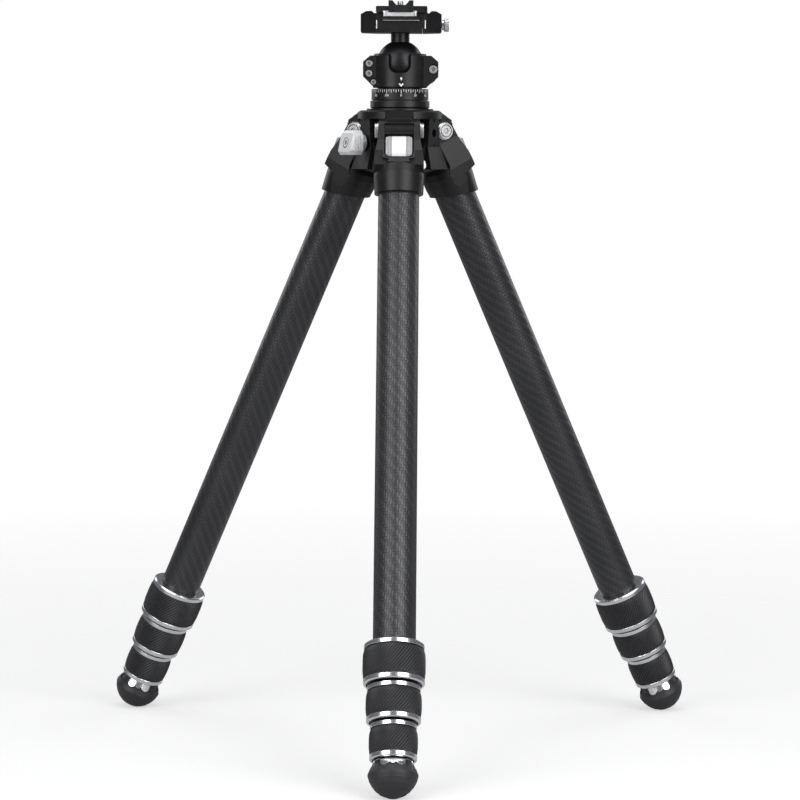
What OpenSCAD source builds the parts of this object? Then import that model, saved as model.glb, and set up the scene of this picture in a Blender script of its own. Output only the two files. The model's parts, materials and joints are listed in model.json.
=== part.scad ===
// Four-section tripod without a centre column, with a ball head, a lever-free
// quick-release clamp and a camera plate. Millimetres, +Z up. The origin is on the floor,
// midway between the three feet. The front leg points along -Y.

/* [Legs] */
// Angle between each leg and the vertical as it stands
leg_lean = 26; // [22:1:30]
// Distance from the centre line to each leg's pivot bolt
pivot_radius = 39.6; // [38.5:0.1:42]
// How far the tube axis runs inboard of the pivot bolt
axis_inset = 5.75; // [5:0.25:7]
// From the pivot down the leg to the first lock
upper_run = 525.2; // [300:5:650]
// How far each leg section slides out
section_travel = 400; // [150:10:420]

/* [Tubes] */
// Outer diameter of the upper tube
tube_d = 40; // [36:1:41]
// Difference in outer diameter from one section to the next
tube_step = 4; // [3.6:0.1:4.4]
// Wall of every tube
tube_wall = 1.5; // [1:0.1:1.7]
// Gap between a tube and what slides or turns on it
slide_gap = 0.3; // [0.25:0.05:0.4]

/* [Locks] */
// Length of the first lock
lock_1_h = 39; // [34:0.5:48]
// Length of the second lock
lock_2_h = 35; // [30:0.5:44]
// Length of the third lock
lock_3_h = 34.5; // [30:0.5:44]
// Height of each lock's upper metal ring
ring_upper_h = 4.8; // [3:0.1:7]
// Height of each lock's lower metal ring
ring_lower_h = 4.9; // [3:0.1:7]
// Gap between one lock and the next
lock_gap = 1; // [0.5:0.1:2]
// How far the first grip stands out from its tube
grip_1_proud = 9.2; // [8.5:0.1:9.6]
// How far the second grip stands out from its tube
grip_2_proud = 7.9; // [7:0.1:8.5]
// How far the third grip stands out from its tube
grip_3_proud = 6.6; // [6:0.1:7.5]

/* [Feet] */
// Widest radius of the rubber foot
foot_r = 23.4; // [20:0.2:27]
// Length of the rubber foot
foot_h = 33; // [28:0.5:42]
// Radius of the flat under the rubber foot
foot_flat_r = 5.6; // [4:0.2:8]

/* [Shoulders] */
// Length of the shoulder below the pivot
shoulder_h = 70.5; // [64:0.5:84]
// Wall of the shoulder around the tube
shoulder_wall = 4.3; // [3.6:0.1:4.6]
// Radius of the arms around the pivot
arm_r = 11; // [9:0.5:11]
// Width of the slot between the arms
slot_w = 28.4; // [26.5:0.1:29]
// Outside width across the arms at the pivot
arms_w = 40; // [38:0.5:41]
// Radius of the pivot bolt's shank
bolt_r = 5; // [3.5:0.1:6]
// Outside width across the pivot bolt's heads
bolt_w = 48; // [46:0.5:50]
// Width of the leg-angle latch
latch_w = 25.8; // [22:0.2:25.8]
// Height of the leg-angle latch
latch_h = 21.6; // [16:0.2:22]

/* [Apex] */
// Height of the apex casting's flat top above the pivots
apex_top = 20; // [18:0.5:21]
// Depth of the apex casting's side panels below the pivots
apex_drop = 38; // [30:1:44]
// Distance from the centre line to the side panels
panel_at = 39.5; // [38:0.5:43]
// Width of the side panels at their lower edge
panel_w = 33.2; // [28:0.2:34]
// Radius where the casting's top starts to slope
shoulder_r = 38.8; // [36.5:0.2:40]
// Reach of each lug's cap from the centre line
cap_reach = 52.7; // [52.6:0.1:54]
// Radius of the lug's end around the pivot
lug_r = 12.4; // [11.2:0.2:12.8]
// Radius of the platform under the head
platform_r = 33; // [30:0.5:34]
// Tap radius of the accessory threads in the side panels
accessory_r = 4; // [2.5:0.1:4.5]
// Depth of the accessory threads
accessory_depth = 9; // [6:0.5:11]

/* [Platform lever] */
// Width of the platform lever's block
lever_w = 25; // [20:0.5:26]
// Height of the platform lever's block
lever_h = 24; // [20:0.5:28]
// Thickness of the platform lever's block
lever_t = 15; // [12:0.5:17]

/* [Head] */
// Radius of the head's base flange
base_r = 29.4; // [28.8:0.1:31]
// Radius of the graduated ring
scale_r = 28.3; // [26.5:0.1:28.5]
// Radius of the ball housing
housing_r = 27; // [26.5:0.1:28]
// Radius of the ball
ball_r = 23.1; // [22.5:0.1:23.3]
// Radius of the stem on the ball
stem_r = 9.3; // [8:0.1:9.8]
// Width of the drop notch
notch_w = 21.8; // [21:0.1:24]
// Reach of the left boss
boss_left = 36.5; // [34:0.5:38]
// Reach of the right boss
boss_right = 38; // [36:0.5:38.5]
// Radius of the ball lock knob
ball_knob_r = 14; // [11:0.5:14]
// Radius of the panning lock knob
pan_knob_r = 6.5; // [5:0.5:7]

/* [Clamp and plate] */
// Length of the clamp across the jaws
clamp_l = 80; // [74:1:86]
// Depth of the clamp from front to back
clamp_d = 50; // [44:1:56]
// Height of the clamp
clamp_h = 21; // [20:0.5:23]
// Width of the dovetail at its base
dovetail_w = 38; // [38:0.1:38.2]
// Width of the dovetail's neck
neck_w = 32; // [31:0.5:33]
// Width of the camera plate across the jaws
plate_w = 50.5; // [44:0.5:60]
// Length of the camera plate from front to back
plate_l = 60; // [52:1:70]
// Thickness of the camera plate above the dovetail
plate_t = 6.4; // [5:0.1:7]
// How far the jaw opens
jaw_travel = 5; // [3:0.5:6]
// Radius of the camera screw's thread
camera_screw_r = 3.175; // [3.17:0.005:3.18]
// Height of the camera screw above the plate
camera_screw_h = 6.2; // [4.5:0.1:7]

/* [Hidden] */
$fn = 96;
running = 0.06;     // radial clearance of a shaft that turns in its bore
fitted = 0.04;      // gap between two pieces fastened together
part_gap = 0.3;     // gap between two pieces that move past each other
eps = 0.01;         // overrun of a cut past the face that it opens

LEGS = ["front", "right", "left"];
LEG_AZIMUTHS = [-90, 30, 150];
LEG_PIECES = ["shoulder", "latch", "tube_1", "nut_1", "grip_1", "tube_2", "nut_2", "grip_2",
              "tube_3", "nut_3", "grip_3", "tube_4", "foot_ring", "foot"];
CENTRE_PIECES = ["apex", "apex_fasteners", "platform", "platform_lever", "head_base", "pan_scale",
                 "head_housing", "housing_screws", "ball_cup", "ball", "ball_knob", "pan_knob",
                 "clamp_body", "clamp_jaw", "clamp_knob", "camera_plate", "plate_stop",
                 "camera_screw"];

// Leg: distances run down the tube axis from the point level with the pivot bolt.
lock_h = [lock_1_h, lock_2_h, lock_3_h];
lock_top = [upper_run, upper_run + lock_1_h + lock_gap,
            upper_run + lock_1_h + lock_2_h + 2 * lock_gap];
grip_r = [for (k = [0:2]) tube_r(k) + [grip_1_proud, grip_2_proud, grip_3_proud][k]];
nut_lip = 7.7;      // length of a nut below the end of the tube that it clamps
tube_top = [40, 52, 64, 76];                      // where each tube starts when collapsed
foot_ring_at = lock_top[2] + lock_3_h + part_gap + 0.2;
foot_at = foot_ring_at + 0.5;
foot_end = foot_at + foot_h;
pivot_h = foot_end * cos(leg_lean) + (axis_inset + foot_flat_r) * sin(leg_lean);
collar_r = tube_d / 2 + shoulder_wall + 1.1;      // collar, where it bulges outwards
collar_w = tube_d + 2 * shoulder_wall;            // collar, across its flattened sides
collar_at = 33;                                   // top of the collar
pocket_at = 15;                                   // top of the latch
latch_out = 19.8;                                 // latch's outer face from the pivot

// Head: heights above the pivots.
platform_top = apex_top + 1.7;
base_at = platform_top + part_gap;
base_h = 7.6;
scale_at = base_at + base_h + 0.8;
scale_h = 10.8;
housing_at = scale_at + scale_h + 1.2;
housing_h = 33.5;
neck_r = 22;                                      // housing's neck inside the graduated ring
ball_at = housing_at + 23.9;
cavity_r = ball_r + part_gap;
cup_r = cavity_r + 2.2;
clamp_at = ball_at + 30.2;
clamp_x = 1;                                      // middle of the clamp's outline
plate_x = 1.6;                                    // middle of the plate's outline
channel_at = clamp_at + 12;                       // floor of the dovetail channel
dovetail_h = 4;
dovetail_rise = (dovetail_w - neck_w) / 2;
seat_at = clamp_at + clamp_h - 2.2;               // jaws, where the plate lies over them
plate_at = seat_at + part_gap;
plate_top = plate_at + plate_t;
clamp_split = 22;                                 // where the moving jaw starts
knob_at = clamp_at + 7.8;                         // axis of the clamp screw
clamp_screw_r = 3;
clamp_knob_r = 6.6;
clamp_end = clamp_x + clamp_l / 2;
ball_knob_azimuth = 60;
pan_knob_azimuth = 120;
ball_knob_at = ball_at - 6;
pan_knob_at = housing_at + 6;
knob_shaft_r = 3.5;
accessory_at = -2.5;                              // accessory threads, above the pivots
lever_azimuth = 210;
lever_at = -12;                                   // lever's middle, above the pivots
lever_gap = 8.5;                                  // from the side panel to the lever's block

BLACK = [0.09, 0.09, 0.1];
CARBON = [0.2, 0.2, 0.22];
SILVER = [0.8, 0.81, 0.82];
RUBBER = [0.13, 0.13, 0.14];
GLOSS = [0.05, 0.05, 0.06];

function tube_r(k) = (tube_d - k * tube_step) / 2;

// ---------- placing ----------

// Puts a leg's own frame in place: x outwards, y along the pivot bolt, z up the leg.
module at_leg(i) {
    rotate([0, 0, LEG_AZIMUTHS[i]]) translate([pivot_radius, 0, pivot_h])
        rotate([0, -leg_lean, 0]) children();
}

// Moves onto the tube axis, with z pointing down the leg.
module down_tube() {
    translate([-axis_inset, 0, 0]) mirror([0, 0, 1]) children();
}

module above_pivots() {
    translate([0, 0, pivot_h]) children();
}

// Turns a shape drawn along +Z to point outwards at an azimuth, starting at a radius.
module outwards(azimuth, radius, height) {
    rotate([0, 0, azimuth]) translate([radius, 0, height]) rotate([0, 90, 0]) children();
}

module ring(outer, inner, from, to) {
    translate([0, 0, from]) difference() {
        cylinder(r = outer, h = to - from);
        translate([0, 0, -eps]) cylinder(r = inner, h = to - from + 2 * eps);
    }
}

module box(low, high) {
    translate(low) cube(high - low);
}

module turned(points) {
    rotate_extrude() polygon(points);
}

// A profile in the x-z plane, extruded to a width in y about the middle.
module side_profile(points, width) {
    rotate([90, 0, 0]) translate([0, 0, -width / 2]) linear_extrude(width) polygon(points);
}

// A row of evenly spaced notches around the z axis.
module notches(count, radius, notch_r, from, to) {
    for (i = [0:count - 1]) rotate([0, 0, i * 360 / count]) translate([radius, 0, from])
        cylinder(r = notch_r, h = to - from, $fn = 16);
}

// ---------- leg pieces, in the leg's own frame ----------

module shoulder_outline() {
    // front view: narrow arms that widen to the collar
    rotate([90, 0, 90]) translate([0, 0, -60]) linear_extrude(120)
        polygon([for (s = [-1, 1]) for (p = s < 0
            ? [[-arms_w / 2, 20], [-arms_w / 2, -10], [-collar_w / 2, -37], [-collar_w / 2, -55],
               [-collar_w / 2 + 1, -shoulder_h - 9]]
            : [[collar_w / 2 - 1, -shoulder_h - 9], [collar_w / 2, -55], [collar_w / 2, -37],
               [arms_w / 2, -10], [arms_w / 2, 20]]) p]);
}

module shoulder_arms() {
    rotate([90, 0, 0]) cylinder(r = arm_r, h = 60, center = true);
    side_profile([[-arm_r, 0], [arm_r, 0], [12.5, -16], [16, -31], [collar_r - axis_inset, -43],
                  [-axis_inset, -50], [-arm_r - 4, -40], [-arm_r, -collar_at]], 60);
}

module shoulder_collar() {
    down_tube() turned([[0, collar_at], [collar_r - 5, collar_at], [collar_r - 1.2, collar_at + 4],
                        [collar_r, collar_at + 10], [collar_r, 52], [collar_r - 1.8, shoulder_h],
                        [collar_r - 2.6, shoulder_h + 8], [0, shoulder_h + 8]]);
}

// Sloping cheeks at both sides of the raised panel between the latch and the collar's end.
module shoulder_cheeks() {
    top = -pocket_at - latch_h - 3;
    for (side = [0, 1]) mirror([0, side, 0]) rotate([90, 0, 90]) translate([0, 0, 15.4])
        linear_extrude(60) polygon([[9.5, top], [16, top - 13], [collar_w / 2 - 4, -shoulder_h + 6],
                                    [collar_w / 2 + 5, -shoulder_h + 6], [collar_w / 2 + 5, 30], [15.8, 30],
                                    [15.8, top + 2]]);
}

module shoulder() {
    color(BLACK) difference() {
        intersection() {
            shoulder_outline();
            union() {
                shoulder_arms();
                shoulder_collar();
            }
        }
        box([-60, -slot_w / 2, -collar_at], [60, slot_w / 2, 40]);
        translate([8.6, 0, 0]) latch_outline(part_gap);
        shoulder_cheeks();
        translate([-axis_inset, 0, 4.3 - shoulder_h]) rotate([0, 14.8, 0]) box([-60, -60, -60], [60, 60, 0]);
        rotate([90, 0, 0]) cylinder(r = bolt_r + running, h = 80, center = true);
        down_tube() translate([0, 0, tube_top[0] - fitted])
            cylinder(r = tube_d / 2 + fitted, h = shoulder_h + 10);
    }
}

// A rounded outline in the y-z plane around the latch, extruded outwards.
module latch_outline(margin) {
    corner = 4 + margin;
    half = latch_w / 2 + margin;
    top = -pocket_at + margin;
    low = -pocket_at - latch_h - margin;
    rotate([90, 0, 90]) linear_extrude(60) {
        for (side = [-1, 1], z = [low + corner, top - corner]) translate([side * (half - corner), z])
            circle(r = corner);
        translate([-half, low + corner]) square([2 * half, top - low - 2 * corner]);
        translate([-half + corner, low]) square([2 * (half - corner), top - low]);
    }
}

module latch() {
    low = -pocket_at - latch_h;
    color(SILVER) difference() {
        intersection() {
            latch_outline(0);
            side_profile([[9.2, -pocket_at], [latch_out - 2, -pocket_at], [latch_out, -pocket_at - 2.4],
                          [latch_out, low + 2.4], [latch_out - 1.4, low], [9.2, low]], 60);
        }
        // grip grooves down both edges
        for (side = [-1, 1], i = [0:3]) translate([latch_out, side * (latch_w / 2 - 1.2 - 1.4 * i), 0])
            cylinder(r = 0.5, h = 200, center = true, $fn = 16);
    }
}

module tube(k, from, to) {
    color(CARBON) down_tube() ring(tube_r(k), tube_r(k) - tube_wall, from, to);
}

module tube_1() { tube(0, tube_top[0], lock_top[0] + lock_h[0] - nut_lip - part_gap); }
module tube_2() { tube(1, tube_top[1], lock_top[1] + lock_h[1] - nut_lip - part_gap); }
module tube_3() { tube(2, tube_top[2], lock_top[2] + lock_h[2] - nut_lip - part_gap); }
module tube_4() { tube(3, tube_top[3], foot_end - 12); }

// The turning metal part of lock k (0 to 2): two rings joined by a core under the grip.
module nut(k) {
    top = lock_top[k];
    end = top + lock_h[k];
    ring_r = grip_r[k] - 0.7;
    core_r = grip_r[k] - 3.2;
    neck = tube_r(k + 1) + slide_gap;
    wide = tube_r(k) + slide_gap;
    color(SILVER) down_tube() turned([
        [wide, top], [ring_r - 1.6, top], [ring_r - 0.4, top + 1.2], [ring_r - 0.4, top + ring_upper_h],
        [core_r, top + ring_upper_h], [core_r, end - ring_lower_h], [ring_r, end - ring_lower_h],
        [ring_r, end - 2.4], [ring_r - 2, end], [neck, end], [neck, end - nut_lip],
        [wide, end - nut_lip]]);
}

module grip(k) {
    top = lock_top[k] + ring_upper_h + fitted;
    end = lock_top[k] + lock_h[k] - ring_lower_h - fitted;
    r = grip_r[k];
    core_r = r - 3.2 + fitted;
    color(RUBBER) down_tube() turned([
        [core_r, top], [r - 2.4, top], [r - 1.2, top + 1.6], [r - 0.3, top + 5], [r, top + 10],
        [r, end - 8], [r - 0.5, end - 2.6], [r - 1.4, end], [core_r, end]]);
}

module foot_ring() {
    inner = tube_r(3) + fitted;
    color(SILVER) down_tube() {
        turned([[inner, foot_ring_at], [inner + 3, foot_ring_at], [inner + 3, foot_at - fitted],
                [inner, foot_at - fitted]]);
        for (i = [0:2]) rotate([0, 0, i * 120 - 28]) rotate_extrude(angle = 56)
            polygon([[inner + 3 - eps, foot_ring_at], [inner + 3.8, foot_ring_at],
                     [foot_r - 2.2, foot_at + 7], [foot_r - 3.4, foot_at + 7.6],
                     [inner + 3 - eps, foot_at - fitted]]);
    }
}

module foot() {
    inner = tube_r(3) + fitted;
    color(RUBBER) down_tube() difference() {
        turned([[0, foot_at], [inner + 2.9, foot_at], [foot_r - 3.6, foot_at + 7.8],
                [foot_r - 2.1, foot_at + 7.2], [foot_r, foot_at + 12.5], [foot_r - 0.4, foot_at + 14.6],
                [foot_r * 0.93, foot_at + foot_h * 0.56], [foot_r * 0.83, foot_at + foot_h * 0.69],
                [foot_r * 0.68, foot_at + foot_h * 0.82], [foot_r * 0.5, foot_at + foot_h * 0.92],
                [foot_flat_r + 2, foot_end - 0.9], [foot_flat_r, foot_end], [0, foot_end]]);
        translate([0, 0, foot_at - eps]) cylinder(r = inner, h = foot_h - 12 + fitted);
    }
}

// ---------- apex casting ----------

module leg_clearance(i) {
    rotate([0, 0, LEG_AZIMUTHS[i]]) {
        width = bolt_w + 4.6;
        clear_at = pivot_radius - arm_r - 0.5;
        for (side = [-1, 1]) box([clear_at, side < 0 ? -width / 2 : slot_w / 2 - part_gap, -80],
                                 [90, side < 0 ? -slot_w / 2 + part_gap : width / 2, arm_r + 0.4]);
        box([8, -width / 2, -80], [90, width / 2, -29.5]);
    }
}

// The lug under a leg's cap, with two steps that face the latch. The cap's end is narrower.
module lug(i) {
    width = slot_w - 2 * part_gap;
    cap_half = width / 2 - 2.2;
    rotate([0, 0, LEG_AZIMUTHS[i]]) {
        translate([pivot_radius, 0, 0]) rotate([90, 0, 0]) cylinder(r = lug_r, h = width, center = true);
        translate([pivot_radius, 0, 0]) side_profile([
            [-pivot_radius, -23], [-15, -23], [-4, -lug_r + 2], [lug_r - 3, -6], [lug_r + 1.2, -3.2],
            [lug_r - 0.8, -1.4], [lug_r - 0.8, 5.4], [lug_r + 1, 7.2], [lug_r - 0.4, 8.6],
            [lug_r - 0.4, arm_r], [-pivot_radius, arm_r]], width);
        translate([0, 0, arm_r - 1]) linear_extrude(20)
            polygon([[0, -width / 2], [pivot_radius + 6, -width / 2], [pivot_radius + 8.2, -cap_half],
                     [cap_reach, -cap_half], [cap_reach, cap_half], [pivot_radius + 8.2, cap_half],
                     [pivot_radius + 6, width / 2], [0, width / 2]]);
    }
}

// A side panel that widens and flares outwards towards its lower edge.
module panel(i) {
    half = panel_w / 2;
    top_half = 9.2;
    rotate([0, 0, LEG_AZIMUTHS[i] + 60]) intersection() {
        side_profile([[20, 40], [panel_at, 40], [panel_at, -16], [panel_at + 6.5, -apex_drop],
                      [20, -apex_drop]], panel_w);
        rotate([90, 0, 90]) linear_extrude(60)
            polygon([[-top_half, 40], [-top_half, 0], [-half, -apex_drop], [half, -apex_drop],
                     [top_half, 0], [top_half, 40]]);
    }
}

module accessory_hole(azimuth) {
    outwards(azimuth, panel_at, accessory_at) {
        translate([0, 0, -accessory_depth]) cylinder(r = accessory_r, h = accessory_depth + eps);
        for (side = [-1, 1]) translate([side * 12, 0, -3]) cylinder(r = 1.5, h = 3 + eps, $fn = 32);
    }
}

module apex() {
    slope = 8.2 / 13.9;
    top_angle_r = shoulder_r + (apex_top + apex_drop + 10) / slope;
    color(BLACK) above_pivots() difference() {
        intersection() {
            union() {
                translate([0, 0, -24]) cylinder(r = 28, h = 24 + apex_top);
                translate([0, 0, arm_r + 0.4]) cylinder(r = shoulder_r + 3, h = apex_top);
                for (i = [0:2]) {
                    lug(i);
                    difference() {
                        panel(i);
                        leg_clearance(i);
                        leg_clearance((i + 1) % 3);
                    }
                }
            }
            turned([[0, -apex_drop - 10], [top_angle_r, -apex_drop - 10], [shoulder_r, apex_top],
                    [0, apex_top]]);
        }
        for (i = [0:2]) rotate([0, 0, LEG_AZIMUTHS[i]]) translate([pivot_radius, 0, 0])
            rotate([90, 0, 0]) cylinder(r = bolt_r + fitted, h = slot_w, center = true);
        translate([0, 0, apex_top - 8]) cylinder(r = platform_r + part_gap, h = 20);
        translate([0, 0, -40]) cylinder(r = 9, h = 80);
        for (azimuth = [-30, 90]) accessory_hole(azimuth);
        outwards(lever_azimuth, panel_at - 10, lever_at) cylinder(r = 4 + running, h = 20);
    }
}

module pivot_bolt() {
    head_at = arms_w / 2 + part_gap;
    rotate([90, 0, 0]) cylinder(r = bolt_r, h = bolt_w - 2, center = true);
    for (side = [0, 1]) mirror([0, side, 0]) rotate([-90, 0, 0]) difference() {
        union() {
            translate([0, 0, head_at]) cylinder(r = 8.6, h = 1.1);
            translate([0, 0, head_at + 1]) cylinder(r = 7.5, h = bolt_w / 2 - head_at - 1);
        }
        ring(6.4, 5.4, bolt_w / 2 - 1.1, bolt_w / 2 + 1);
        translate([0, 0, bolt_w / 2 - 3]) cylinder(r = 3, h = 4, $fn = 6);
    }
}

module apex_fasteners() {
    color(SILVER) above_pivots() for (i = [0:2]) rotate([0, 0, LEG_AZIMUTHS[i]])
        translate([pivot_radius, 0, 0]) pivot_bolt();
}

module platform() {
    color(BLACK) above_pivots() {
        translate([0, 0, apex_top - 8 + fitted]) cylinder(r = platform_r, h = platform_top - apex_top + 8 - fitted);
        translate([0, 0, platform_top - eps]) cylinder(r = 4.7, h = base_h - 1);
    }
}

module platform_lever() {
    r = panel_at + lever_gap;
    half = lever_w / 2;
    top = lever_h / 2;
    color(SILVER) above_pivots() {
        rotate([0, 0, lever_azimuth]) difference() {
            intersection() {
                translate([r, 0, lever_at]) side_profile([
                    [0, -top], [lever_t - 1, -top], [lever_t, 3 - top], [lever_t - 4, top - 2.5],
                    [lever_t - 6, top], [0, top]], lever_w);
                translate([r - 1, 0, lever_at]) rotate([90, 0, 90]) linear_extrude(60)
                    polygon([[half, 4.5 - top], [half, top - 5], [half - 4, top], [4 - half, top],
                             [-half, top - 5], [-half, 4.5 - top], [3 - half, -top], [half - 3, -top]]);
            }
            translate([r + lever_t - 5.5, 0, lever_at]) rotate([0, 90, 0]) {
                cylinder(r = 2.6, h = 10, $fn = 6);
                ring(5.2, 4.2, 2.2, 10);
            }
            // grip grooves on both ends
            for (side = [-1, 1]) for (i = [0:3]) translate([r + 3 + i * 2, side * lever_w / 2, 0])
                cylinder(r = 0.5, h = 100, center = true, $fn = 16);
        }
        outwards(lever_azimuth, panel_at - 9, lever_at) cylinder(r = 4, h = 9 + lever_gap + eps);
        outwards(lever_azimuth, panel_at + 2, lever_at) cylinder(r = 8, h = lever_gap - 2 + eps);
    }
}

// ---------- ball head ----------

module head_base() {
    color(BLACK) above_pivots() difference() {
        turned([[0, base_at], [base_r - 1.2, base_at], [base_r, base_at + 1.2], [base_r, base_at + base_h - 0.6],
                [base_r - 0.6, base_at + base_h], [scale_r - 1, base_at + base_h],
                [scale_r - 1, scale_at - fitted], [0, scale_at - fitted]]);
        translate([0, 0, base_at - eps]) cylinder(r = 4.7 + fitted, h = base_h - 0.4);
    }
}

module pan_scale() {
    top = scale_at + scale_h;
    inner = neck_r + running;
    color(BLACK) above_pivots() turned([[inner, scale_at], [scale_r, scale_at], [scale_r, top - 0.5],
                                        [scale_r - 0.5, top], [inner, top]]);
}

// A boss on the housing's side, out to a reach, drawn towards +X.
module boss(reach) {
    side_profile([[0, housing_at + 0.5], [housing_r - 1, housing_at + 0.5], [reach, housing_at + 11],
                  [reach, housing_at + 25.5], [reach - 7, housing_at + 31.5],
                  [0, housing_at + 31.5]], 26);
}

module screw_recess(x, z, r) {
    translate([x, -13 + 2.4, z]) rotate([90, 0, 0]) cylinder(r = r, h = 20);
}

SCREWS = [[-boss_left + 6, housing_at + 23.8, 3.2], [-boss_left + 6, housing_at + 14, 3.2],
          [-boss_left + 10.5, housing_at + 5.5, 2.6], [boss_right - 5, housing_at + 18.1, 4]];

module drop_notch() {
    corner = 8;
    low = ball_at - stem_r - 0.5;
    half = notch_w / 2;
    rotate([90, 0, 0]) linear_extrude(60) {
        for (side = [-1, 1]) translate([side * (half - corner), low + corner]) circle(r = corner);
        translate([-half + corner, low]) square([2 * (half - corner), 40]);
        translate([-half, low + corner]) square([2 * half, 40]);
    }
}

module head_housing() {
    top = housing_at + housing_h;
    cup_clear = cup_r + 0.4;
    cup_top = ball_at - cup_clear * cos(66);
    color(BLACK) above_pivots() difference() {
        union() {
            turned([[0, scale_at + 0.5], [neck_r, scale_at + 0.5], [neck_r, housing_at],
                    [housing_r - 0.6, housing_at], [housing_r, housing_at + 0.6], [housing_r, top - 2.2],
                    [housing_r - 1.4, top - 0.8], [housing_r - 1.4, top], [0, top]]);
            boss(boss_right);
            mirror([1, 0, 0]) boss(boss_left);
        }
        translate([0, 0, ball_at]) sphere(r = cavity_r);
        intersection() {
            translate([0, 0, ball_at]) sphere(r = cup_clear);
            translate([0, 0, cup_top - 60]) cylinder(r = 60, h = 60);
        }
        translate([0, 0, ball_at]) cylinder(r = sqrt(pow(cavity_r, 2) - pow(top - ball_at, 2)) + 0.4, h = 60);
        drop_notch();
        for (s = SCREWS) screw_recess(s[0], s[1], s[2] + 1.2);
        outwards(ball_knob_azimuth, housing_r - 2.6, ball_knob_at) cylinder(r = knob_shaft_r + running, h = 30);
        outwards(pan_knob_azimuth, neck_r - 3, pan_knob_at) cylinder(r = knob_shaft_r + running, h = 30);
    }
}

module housing_screws() {
    color(SILVER) above_pivots() for (s = SCREWS) translate([s[0], -13 + 2.4 - fitted, s[1]])
        rotate([90, 0, 0]) difference() {
            cylinder(r = s[2], h = 2);
            translate([0, 0, 0.8]) cylinder(r = s[2] * 0.5, h = 3, $fn = 6);
        }
}

module ball_cup() {
    cut = ball_r * cos(27);
    color(RUBBER) above_pivots() translate([0, 0, ball_at]) intersection() {
        difference() {
            sphere(r = cup_r);
            sphere(r = cavity_r);
        }
        translate([0, 0, -60 - cut]) cylinder(r = 60, h = 60);
    }
}

module ball() {
    color(GLOSS) above_pivots() translate([0, 0, ball_at]) {
        sphere(r = ball_r);
        cylinder(r = stem_r, h = clamp_at - ball_at - part_gap);
        cylinder(r = 4, h = clamp_at - ball_at + 5);
    }
}

// A knurled knob with its shaft, drawn along +Z from the housing's wall.
module lock_knob(shaft_from, from, to, r, count) {
    translate([0, 0, shaft_from]) cylinder(r = knob_shaft_r, h = from - shaft_from + 1);
    difference() {
        turned([[0, from], [r - 3, from], [r, from + 3], [r, to - 1.5], [r - 1.5, to], [0, to]]);
        notches(count, r + 0.5, 1.1, from - 1, to + 1);
    }
}

module ball_knob() {
    color(BLACK) above_pivots() outwards(ball_knob_azimuth, 0, ball_knob_at)
        lock_knob(housing_r - 2.5, housing_r + 2, 54, ball_knob_r, 30);
}

module pan_knob() {
    color(BLACK) above_pivots() outwards(pan_knob_azimuth, 0, pan_knob_at)
        lock_knob(neck_r - 2, housing_r + 2, 43, pan_knob_r, 20);
}

// ---------- clamp and camera plate ----------

module clamp_outline(from, to) {
    l = clamp_l / 2;
    d = clamp_d / 2;
    translate([clamp_x, 0, from]) linear_extrude(to - from)
        polygon([[-l + 16, -d], [l - 16, -d], [l, -d + 14], [l, d - 14], [l - 16, d], [-l + 16, d],
                 [-l, d - 14], [-l, -d + 14]]);
}

// Front view of the whole clamp: sloping upper corners, and a seat for the plate.
module clamp_section() {
    l = clamp_l / 2;
    top = clamp_at + clamp_h;
    seat = plate_w / 2 + 2;
    difference() {
        side_profile([[clamp_x - l + 1, clamp_at], [clamp_x + l - 1, clamp_at], [clamp_x + l, clamp_at + 1],
                      [clamp_x + l, top - 2.8], [clamp_x + l - 5.5, top], [clamp_x - l + 5.5, top],
                      [clamp_x - l, top - 2.8], [clamp_x - l, clamp_at + 1]], 200);
        side_profile([[plate_x - seat, seat_at], [plate_x + seat, seat_at], [plate_x + seat + 3.3, top + 1],
                      [plate_x - seat - 3.3, top + 1]], 200);
    }
}

module dovetail_channel(gap) {
    low = channel_at;
    rise_at = channel_at + dovetail_h - dovetail_rise + gap;
    half = dovetail_w / 2 + gap;
    neck = neck_w / 2 + gap;
    side_profile([[-half, low], [half, low], [half, rise_at], [neck, rise_at + dovetail_rise],
                  [neck, low + 40], [-neck, low + 40], [-neck, rise_at + dovetail_rise],
                  [-half, rise_at]], 200);
}

module clamp_blank() {
    difference() {
        intersection() {
            clamp_outline(clamp_at, clamp_at + clamp_h);
            clamp_section();
        }
        dovetail_channel(0.15);
    }
}

module clamp_body() {
    color(BLACK) above_pivots() difference() {
        clamp_blank();
        box([clamp_split, -100, clamp_at - 1], [100, 100, clamp_at + 60]);
        box([neck_w / 2 - 5, -100, channel_at + 0.01], [100, 100, clamp_at + 60]);
        translate([0, 0, clamp_at - 1]) cylinder(r = 4 + running, h = 6.5);
        translate([7, 0, knob_at]) rotate([0, 90, 0]) cylinder(r = clamp_screw_r + running, h = 40);
    }
}

module clamp_jaw() {
    color(BLACK) above_pivots() difference() {
        clamp_blank();
        box([-100, -100, clamp_at - 1], [clamp_split + part_gap, 100, channel_at + 0.2]);
        box([-100, -100, channel_at], [neck_w / 2 - 6, 100, clamp_at + 60]);
        translate([10, 0, knob_at]) rotate([0, 90, 0]) cylinder(r = clamp_screw_r + running, h = 60);
    }
}

module clamp_knob() {
    from = clamp_end + part_gap;
    color(SILVER) above_pivots() translate([0, 0, knob_at]) rotate([0, 90, 0]) {
        translate([0, 0, 8]) cylinder(r = clamp_screw_r, h = from - 8 + 1);
        translate([0, 0, from]) cylinder(r = 5, h = 2.2);
        difference() {
            turned([[0, from + 2], [clamp_knob_r - 0.8, from + 2], [clamp_knob_r, from + 2.8],
                    [clamp_knob_r, from + 6.2], [clamp_knob_r - 0.8, from + 7], [0, from + 7]]);
            notches(24, clamp_knob_r + 0.2, 0.5, from, from + 8);
        }
    }
}

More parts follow.
